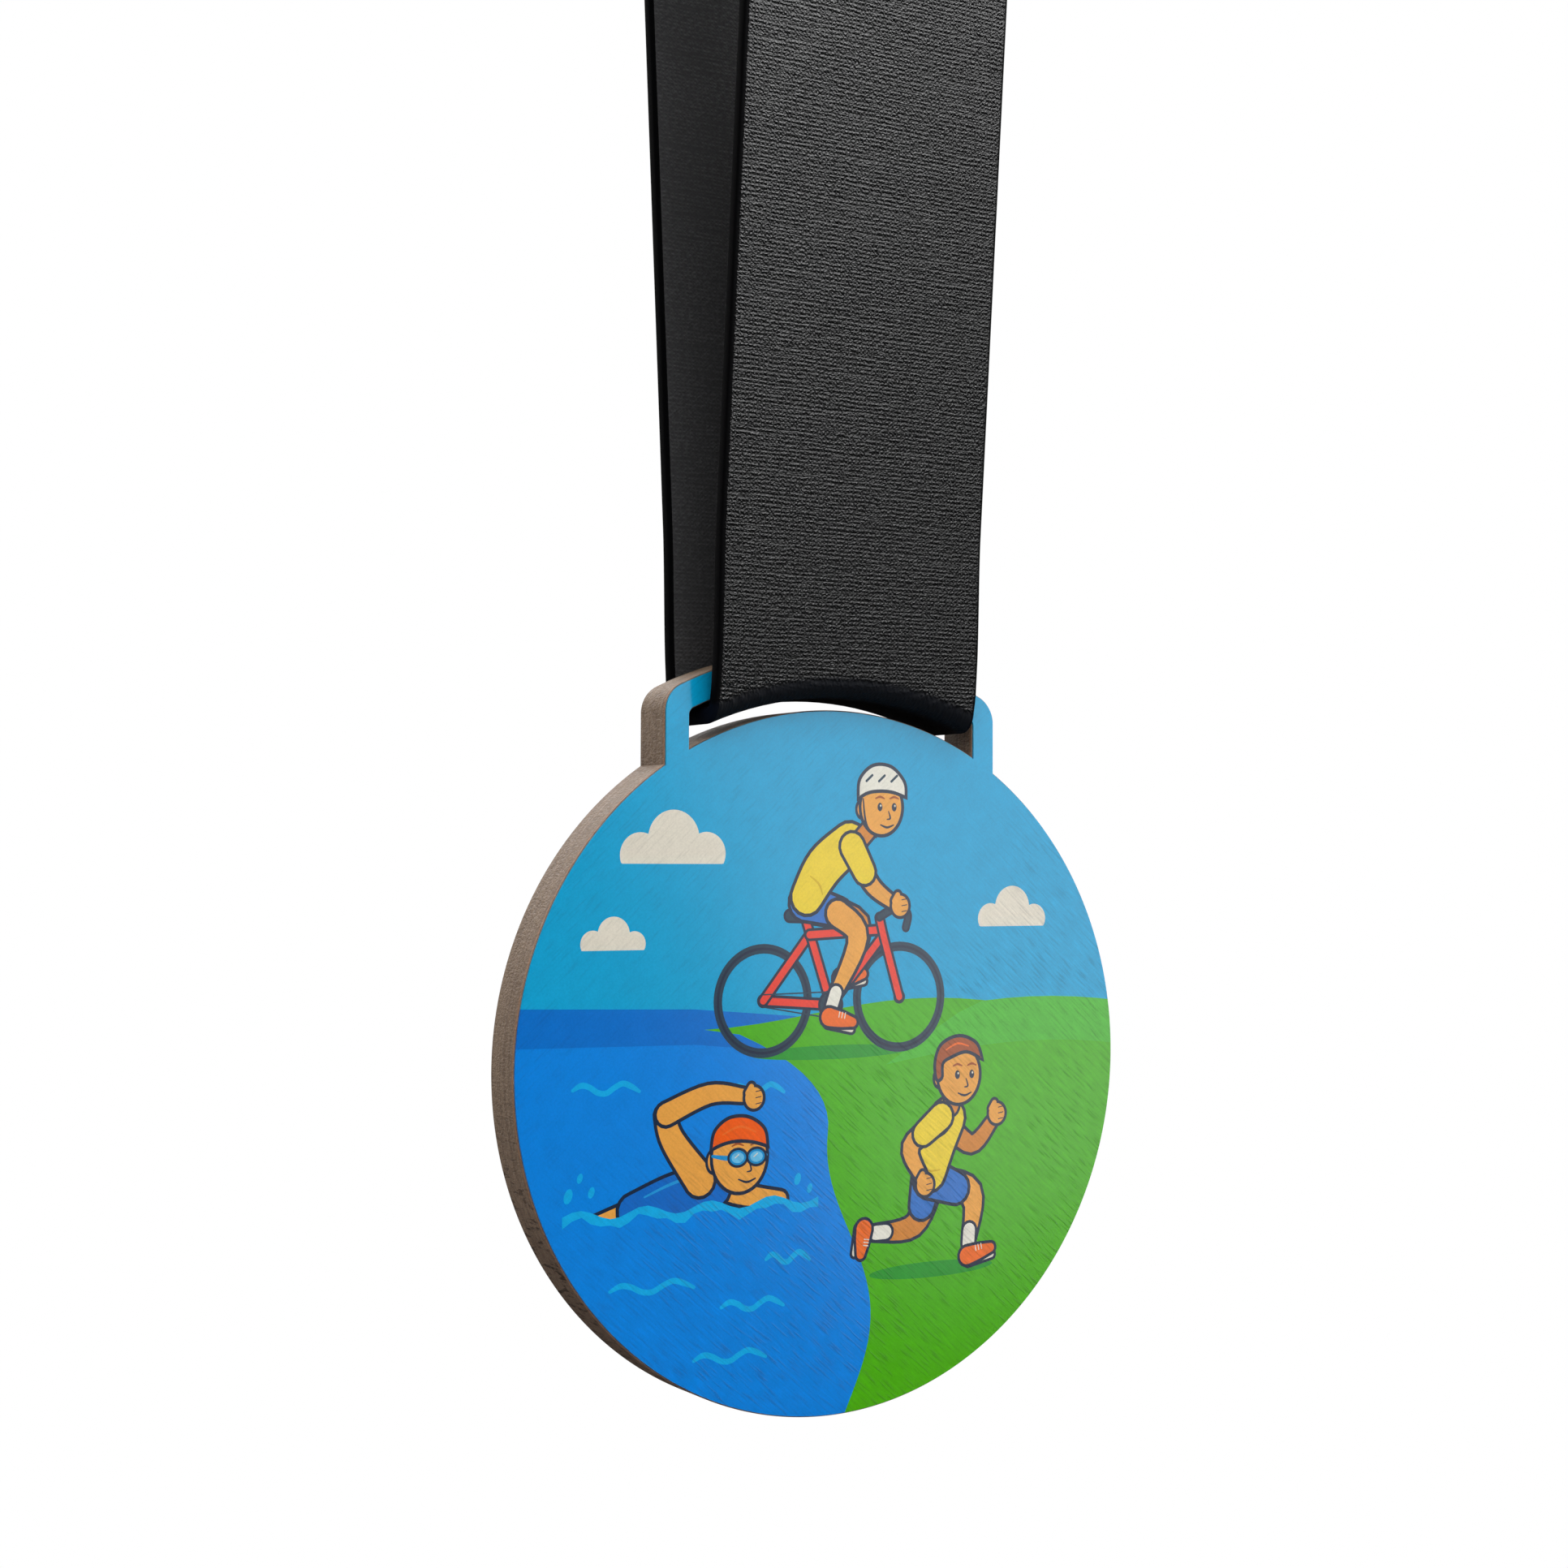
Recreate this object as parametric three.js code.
// Finisher medal: a round printed hardboard disc with a ribbon tab, hung on one woven ribbon.
// Millimetres, +Z up, printed face towards -Y. The origin is the inside top of the ribbon loop,
// midway through the board's thickness. The board is drawn round its own centre and moved last.
import * as THREE from "three";

// Board: disc, tab and slot
const discRadius = 35;
const boardThickness = 4.9;
const printThickness = 0.2;
const printInset = 0.12;
const postWidth = 2.7;
const barHeight = 2.7;
const tabCornerRadius = 3;
const slotCornerRadius = 0.8;

// Ribbon
const ribbonWidth = 30.5;
const ribbonThickness = 1.6;
const strapLean = THREE.MathUtils.degToRad(4.8);
const loopRadius = 13.5;
const foldInnerRadius = 0.5;

// Ribbon ends, lapped and sewn
const lapLength = 22;
const lapBelowLoop = 8;
const threadWidth = 0.7;
const threadThickness = 0.4;
const threadInset = 3.5;

// Clearances
const slotSideClearance = 1.45;
const slotBottomClearance = 1.15;
const foldSlack = 0.55;
const faceClearance = 0.85;
const foldAboveBar = 2;
const bendHeight = 7;
const pieceGap = 0.3;
const layerGap = 0.1;

// Sizes that follow from the ones above
const halfRibbon = ribbonWidth / 2;
const slotHalfWidth = halfRibbon + slotSideClearance;
const tabHalfWidth = slotHalfWidth + postWidth;
const slotTopRadius = discRadius + slotBottomClearance + ribbonThickness + foldSlack;
const tabTopRadius = slotTopRadius + barHeight;
const halfMedal = (boardThickness + printThickness) / 2;

// Ribbon path, seen from the side: y is the distance from the middle plane, z the height
const foldOuterRadius = foldInnerRadius + ribbonThickness;
const foldMiddleRadius = foldInnerRadius + ribbonThickness / 2;
const foldCornerY = halfMedal + faceClearance - foldInnerRadius * Math.cos(strapLean);
const foldCornerZ = slotTopRadius - foldSlack + foldInnerRadius;
const foldTop = tabTopRadius + foldAboveBar;
const bendTop = foldTop + bendHeight;
const loopRise = (loopRadius - foldMiddleRadius) / Math.cos(strapLean) - foldCornerY;
const loopCentreZ = foldCornerZ + loopRise / Math.tan(strapLean);
const loopOuterRadius = loopRadius + ribbonThickness / 2;
const loopInnerRadius = loopRadius - ribbonThickness / 2;
const strapTop = loopCentreZ - loopOuterRadius * Math.sin(strapLean) - pieceGap;
const lapTop = strapTop - lapBelowLoop;
const lapBottom = lapTop - lapLength;
const turningHeight = (bendTop + lapBottom) / 2;
const hangingHeight = loopCentreZ + loopInnerRadius;

// Finishes
const boardEdge = new THREE.MeshStandardMaterial({ color: 0x6b5a4b, roughness: 0.85, metalness: 0 });
const printedFace = new THREE.MeshStandardMaterial({ color: 0x0f78c8, roughness: 0.3, metalness: 0 });
const wovenBlack = new THREE.MeshStandardMaterial({ color: 0x26262a, roughness: 0.9, metalness: 0 });
const sewingThread = new THREE.MeshStandardMaterial({ color: 0x141416, roughness: 0.8, metalness: 0 });

const arcTolerance = 0.01;
const widthSteps = 24;

// Points along an arc round (x, y), close enough to stay within the tolerance of the true curve
function arc(x, y, radius, from, to) {
  const step = 2 * Math.acos(1 - arcTolerance / radius);
  const count = Math.ceil(Math.abs(to - from) / step);
  const points = [];
  for (let i = 0; i <= count; i++) {
    const angle = from + ((to - from) * i) / count;
    points.push(new THREE.Vector2(x + radius * Math.cos(angle), y + radius * Math.sin(angle)));
  }
  return points;
}

// One closed outline from stretches that may share their end points
function outlineOf(...stretches) {
  const points = [];
  for (const point of stretches.flat()) {
    if (!points.length || point.distanceTo(points[points.length - 1]) > arcTolerance / 10) {
      points.push(point);
    }
  }
  return points;
}

// A top edge concentric with the disc, rounded into two upright sides
function archedTop(halfWidth, radius, corner) {
  const x = halfWidth - corner;
  const y = Math.sqrt((radius - corner) ** 2 - x ** 2);
  const angle = Math.atan2(y, x);
  return [
    ...arc(x, y, corner, 0, angle),
    ...arc(0, 0, radius, angle, Math.PI - angle),
    ...arc(-x, y, corner, Math.PI - angle, Math.PI),
  ];
}

// Disc and tab in one outline with the ribbon slot as a hole, drawn in by the inset all round
function medalShape(inset) {
  const radius = discRadius - inset;
  const neck = Math.acos((tabHalfWidth - inset) / radius);
  const slotFoot = Math.acos((slotHalfWidth + inset) / radius);
  const outer = outlineOf(
    arc(0, 0, radius, Math.PI - neck, 2 * Math.PI + neck),
    archedTop(tabHalfWidth - inset, tabTopRadius - inset, tabCornerRadius - inset),
  );
  const slot = outlineOf(
    arc(0, 0, radius, Math.PI - slotFoot, slotFoot),
    archedTop(slotHalfWidth + inset, slotTopRadius + inset, slotCornerRadius + inset),
  );
  const shape = new THREE.Shape(outer);
  shape.holes.push(new THREE.Path(slot));
  return shape;
}

// A flat plate of the medal's outline between two depths
function medalPlate(name, inset, frontY, backY, material) {
  const geometry = new THREE.ExtrudeGeometry(medalShape(inset), {
    depth: backY - frontY,
    bevelEnabled: false,
  });
  const mesh = new THREE.Mesh(geometry, material);
  mesh.name = name;
  mesh.rotation.x = Math.PI / 2;
  mesh.position.y = backY;
  return mesh;
}

// How far the arched bar drops from its middle at a place across the ribbon
function barDrop(x) {
  return Math.sqrt(slotTopRadius ** 2 - x ** 2) - slotTopRadius;
}

// A length of ribbon from its side profile, with share(z) of the bar's arch along its width
function ribbonPiece(name, profile, share = null) {
  const geometry = new THREE.ExtrudeGeometry(new THREE.Shape(profile), {
    depth: ribbonWidth,
    steps: share ? widthSteps : 1,
    bevelEnabled: false,
  });
  geometry.translate(0, 0, -halfRibbon);
  const across = new THREE.Vector3(1, 0, 0);
  const outward = new THREE.Vector3(0, 1, 0);
  const upward = new THREE.Vector3(0, 0, 1);
  geometry.applyMatrix4(new THREE.Matrix4().makeBasis(outward, upward, across));
  if (share) {
    const place = geometry.attributes.position;
    for (let i = 0; i < place.count; i++) {
      place.setZ(i, place.getZ(i) + share(place.getZ(i)) * barDrop(place.getX(i)));
    }
    geometry.computeVertexNormals();
  }
  const mesh = new THREE.Mesh(geometry, wovenBlack);
  mesh.name = name;
  return mesh;
}

// Distance from the middle plane of a line along the strap, that far outside the fold's corner
function strapLine(outside, z) {
  return foldCornerY + outside / Math.cos(strapLean) + (z - foldCornerZ) * Math.tan(strapLean);
}

// Side profile of a strap between two heights; side is -1 in front and 1 behind
function strapProfile(side, bottom, top, inside = foldInnerRadius, outside = foldOuterRadius) {
  return [
    new THREE.Vector2(side * strapLine(inside, bottom), bottom),
    new THREE.Vector2(side * strapLine(outside, bottom), bottom),
    new THREE.Vector2(side * strapLine(outside, top), top),
    new THREE.Vector2(side * strapLine(inside, top), top),
  ];
}

// Side profile of the fold under the bar, open upwards
function foldProfile() {
  const corner = (side, radius) => {
    const upright = side > 0 ? -strapLean : Math.PI + strapLean;
    const down = side > 0 ? -Math.PI / 2 : (3 * Math.PI) / 2;
    return arc(side * foldCornerY, foldCornerZ, radius, upright, down);
  };
  const tip = (side, outside) => [new THREE.Vector2(side * strapLine(outside, foldTop), foldTop)];
  return outlineOf(
    tip(-1, foldOuterRadius),
    corner(-1, foldOuterRadius),
    corner(1, foldOuterRadius).reverse(),
    tip(1, foldOuterRadius),
    tip(1, foldInnerRadius),
    corner(1, foldInnerRadius),
    corner(-1, foldInnerRadius).reverse(),
    tip(-1, foldInnerRadius),
  );
}

// Side profile of the loop that goes over a peg
function loopProfile() {
  return outlineOf(
    arc(0, loopCentreZ, loopOuterRadius, -strapLean, Math.PI + strapLean),
    arc(0, loopCentreZ, loopInnerRadius, Math.PI + strapLean, -strapLean),
  );
}

// The short stretch that bends when the medal swings: arched below, straight above
function bendPiece(name, side) {
  const bottom = foldTop + pieceGap;
  const top = bendTop - pieceGap;
  return ribbonPiece(name, strapProfile(side, bottom, top), (z) => (top - z) / (top - bottom));
}

// Rectangle of lockstitch round the lapped ends
function lapStitching() {
  const halfAcross = halfRibbon - threadInset;
  const halfAlong = lapLength / 2 - threadInset;
  const box = (x, y) => [
    new THREE.Vector2(-x, -y),
    new THREE.Vector2(x, -y),
    new THREE.Vector2(x, y),
    new THREE.Vector2(-x, y),
  ];
  const seam = new THREE.Shape(box(halfAcross, halfAlong));
  seam.holes.push(new THREE.Path(box(halfAcross - threadWidth, halfAlong - threadWidth)));
  const geometry = new THREE.ExtrudeGeometry(seam, { depth: threadThickness, bevelEnabled: false });
  const mesh = new THREE.Mesh(geometry, sewingThread);
  const middle = (lapBottom + lapTop) / 2;
  const standOff = foldOuterRadius + ribbonThickness + 2 * layerGap + threadThickness;
  mesh.name = "lap_stitching";
  mesh.rotation.x = Math.PI / 2 - strapLean;
  mesh.position.set(0, strapLine(standOff, middle), middle);
  return mesh;
}

const lapInside = foldOuterRadius + layerGap;
const lapOutside = lapInside + ribbonThickness;

const medal = new THREE.Group();
medal.position.z = -hangingHeight;
medal.add(
  medalPlate("core_board", 0, printThickness - halfMedal, halfMedal, boardEdge),
  medalPlate("front_print", printInset, -halfMedal, printThickness - halfMedal, printedFace),
  ribbonPiece("ribbon_fold", foldProfile(), () => 1),
  bendPiece("front_bend", -1),
  bendPiece("back_bend", 1),
  ribbonPiece("front_strap_lower", strapProfile(-1, bendTop, turningHeight - pieceGap / 2)),
  ribbonPiece("back_strap_lower", strapProfile(1, bendTop, turningHeight - pieceGap / 2)),
  ribbonPiece("front_strap_upper", strapProfile(-1, turningHeight + pieceGap / 2, strapTop)),
  ribbonPiece("back_strap_upper", strapProfile(1, turningHeight + pieceGap / 2, strapTop)),
  ribbonPiece("hanging_loop", loopProfile()),
  ribbonPiece("ribbon_lap", strapProfile(1, lapBottom, lapTop, lapInside, lapOutside)),
  lapStitching(),
);

export default medal;
